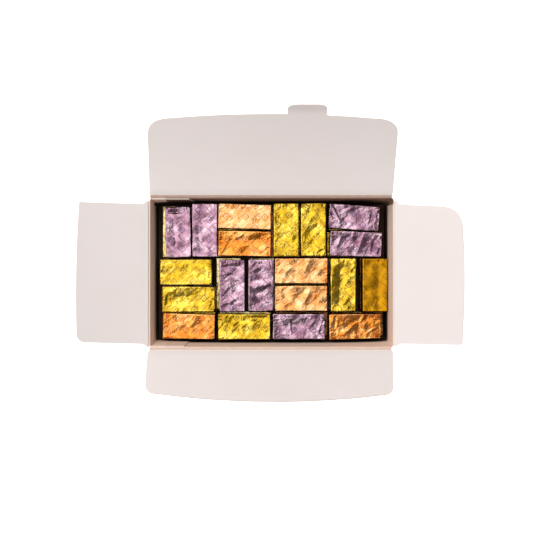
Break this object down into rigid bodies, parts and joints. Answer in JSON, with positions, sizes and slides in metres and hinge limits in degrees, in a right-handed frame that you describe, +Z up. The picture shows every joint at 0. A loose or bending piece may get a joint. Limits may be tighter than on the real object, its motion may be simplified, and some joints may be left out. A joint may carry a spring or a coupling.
{
  "type": "open box of chocolate pralines",
  "caption": "Open folding carton with hinged top flaps, packed in layers with foil-wrapped chocolate pralines.",
  "frame": {"origin": "centre of the carton's underside, on the surface it stands on", "axes": "+X along the carton's long side, +Y towards the back flap with the tab, +Z up"},
  "size_m": [0.2433, 0.1828, 0.0763],
  "materials": {
    "board": "uncoated off-white paperboard",
    "mauve_foil": "crumpled lacquered foil",
    "orange_foil": "crumpled lacquered foil",
    "yellow_foil": "crumpled lacquered foil",
    "amber_foil": "smoothed lacquered foil",
    "cream_foil": "crumpled lacquered foil"
  },
  "bodies": {
    "carton": {"tray": "board", "praline_upper_01": "mauve_foil", "praline_upper_02": "mauve_foil", "praline_upper_03": "orange_foil", "praline_upper_04": "orange_foil", "praline_upper_05": "yellow_foil", "praline_upper_06": "yellow_foil", "praline_upper_07": "mauve_foil", "praline_upper_08": "mauve_foil", "praline_upper_09": "yellow_foil", "praline_upper_10": "yellow_foil", "praline_upper_11": "mauve_foil", "praline_upper_12": "mauve_foil", "praline_upper_13": "orange_foil", "praline_upper_14": "orange_foil", "praline_upper_15": "yellow_foil", "praline_upper_16": "amber_foil", "praline_upper_17": "orange_foil", "praline_upper_18": "yellow_foil", "praline_upper_19": "mauve_foil", "praline_upper_20": "orange_foil", "praline_lower_01": "cream_foil", "praline_lower_02": "mauve_foil", "praline_lower_03": "yellow_foil", "praline_lower_04": "cream_foil", "praline_lower_05": "orange_foil", "praline_lower_06": "orange_foil", "praline_lower_07": "yellow_foil", "praline_lower_08": "yellow_foil", "praline_lower_09": "orange_foil", "praline_lower_10": "mauve_foil", "praline_lower_11": "cream_foil", "praline_lower_12": "cream_foil", "praline_lower_13": "mauve_foil", "praline_lower_14": "yellow_foil", "praline_lower_15": "mauve_foil", "praline_lower_16": "orange_foil", "praline_lower_17": "yellow_foil", "praline_lower_18": "cream_foil", "praline_lower_19": "orange_foil", "praline_lower_20": "orange_foil"},
    "back_flap": {"flap_back": "board"},
    "front_flap": {"flap_front": "board"},
    "left_flap": {"flap_left": "board"},
    "right_flap": {"flap_right": "board"}
  },
  "joints": [
    {"name": "back_crease", "type": "hinge", "parent": "carton", "child": "back_flap", "pos_m": [0, 0.04865, 0.046], "axis": [1, 0, 0], "range_deg": [-70, 149.5]},
    {"name": "front_crease", "type": "hinge", "parent": "carton", "child": "front_flap", "pos_m": [0, -0.04865, 0.0451], "axis": [-1, 0, 0], "range_deg": [-121, 139]},
    {"name": "left_crease", "type": "hinge", "parent": "carton", "child": "left_flap", "pos_m": [-0.0792, 0, 0.0442], "axis": [0, 1, 0], "range_deg": [-87, 165.3]},
    {"name": "right_crease", "type": "hinge", "parent": "carton", "child": "right_flap", "pos_m": [0.0792, 0, 0.0442], "axis": [0, -1, 0], "range_deg": [-97, 155.3]}
  ]
}
